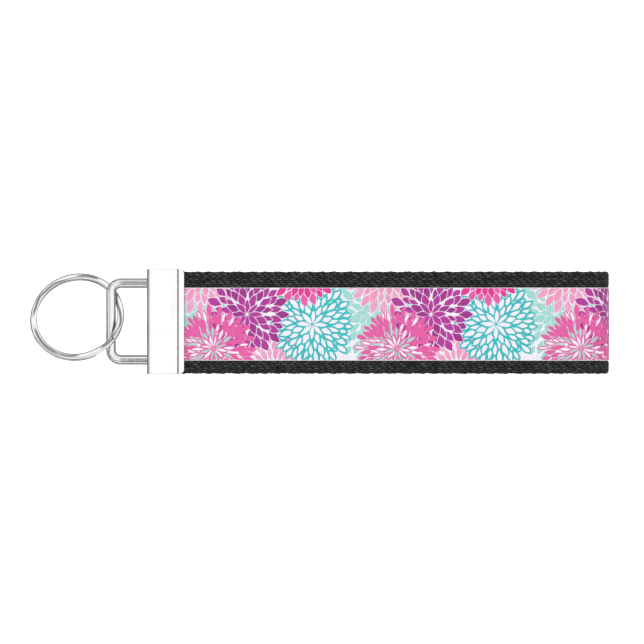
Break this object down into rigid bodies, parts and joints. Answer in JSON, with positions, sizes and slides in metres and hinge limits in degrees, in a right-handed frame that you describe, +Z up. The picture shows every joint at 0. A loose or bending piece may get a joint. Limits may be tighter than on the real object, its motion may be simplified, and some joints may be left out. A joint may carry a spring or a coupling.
{
  "type": "wristlet keychain",
  "caption": "Wristlet keychain: folded webbing strap with a floral printed ribbon, crimped in a steel clamp with a wire bail and a split key ring.",
  "frame": {"origin": "centre of the object's underside, on the surface that it lies on", "axes": "+X along the strap towards its fold, +Y across the strap, +Z up through the front layer"},
  "size_m": [0.1768, 0.032, 0.016],
  "materials": {
    "clamp_plate": "bright nickel plated sheet steel",
    "bail_wire": "bright nickel plated wire",
    "ring_wire": "bright nickel plated spring wire",
    "webbing": "black woven polyester webbing",
    "ribbon": "white grosgrain ribbon printed with pink, purple and turquoise flowers",
    "thread": "white polyester sewing thread"
  },
  "bodies": {
    "clamp": {"clamp_body": "clamp_plate", "bail": "bail_wire", "webbing_ends": "webbing", "ribbon_ends": "ribbon"},
    "key_ring": {"split_ring": "ring_wire"},
    "strap_front_near": {"webbing_front_near": "webbing", "ribbon_front_near": "ribbon", "stitching_front_near": "thread"},
    "strap_front_far": {"webbing_front_far": "webbing", "ribbon_front_far": "ribbon", "stitching_front_far": "thread"},
    "strap_fold": {"webbing_fold": "webbing", "ribbon_fold": "ribbon", "stitching_fold": "thread"},
    "strap_back_far": {"webbing_back_far": "webbing", "ribbon_back_far": "ribbon", "stitching_back_far": "thread"},
    "strap_back_near": {"webbing_back_near": "webbing", "ribbon_back_near": "ribbon", "stitching_back_near": "thread"}
  },
  "joints": [
    {"name": "ring_swing", "type": "hinge", "parent": "clamp", "child": "key_ring", "pos_m": [-0.06366, 0, 0.008], "axis": [0, 1, 0], "range_deg": [-50, 115]},
    {"name": "strap_open", "type": "hinge", "parent": "clamp", "child": "strap_front_near", "pos_m": [-0.03986, 0, 0.00955], "axis": [0, -1, 0], "range_deg": [0, 40], "stiffness_Nm_per_rad": 0.02},
    {"name": "front_bend", "type": "hinge", "parent": "strap_front_near", "child": "strap_front_far", "pos_m": [0.02026, 0, 0.01218], "axis": [0, -1, 0], "range_deg": [-80, 0]},
    {"name": "fold_front", "type": "hinge", "parent": "strap_front_far", "child": "strap_fold", "pos_m": [0.08038, 0, 0.0148], "axis": [0, -1, 0], "range_deg": [0, 40]},
    {"name": "fold_back", "type": "hinge", "parent": "strap_fold", "child": "strap_back_far", "pos_m": [0.08038, 0, 0.0012], "axis": [0, -1, 0], "range_deg": [0, 40]},
    {"name": "back_bend", "type": "hinge", "parent": "strap_back_far", "child": "strap_back_near", "pos_m": [0.02026, 0, 0.00382], "axis": [0, -1, 0], "range_deg": [-80, 0]}
  ],
  "couplings": [
    {"joint": "front_bend", "follows": "strap_open", "ratio": -1.9714},
    {"joint": "fold_front", "follows": "strap_open", "ratio": 0.9714},
    {"joint": "fold_back", "follows": "strap_open", "ratio": 0.9714},
    {"joint": "back_bend", "follows": "strap_open", "ratio": -1.9714}
  ]
}
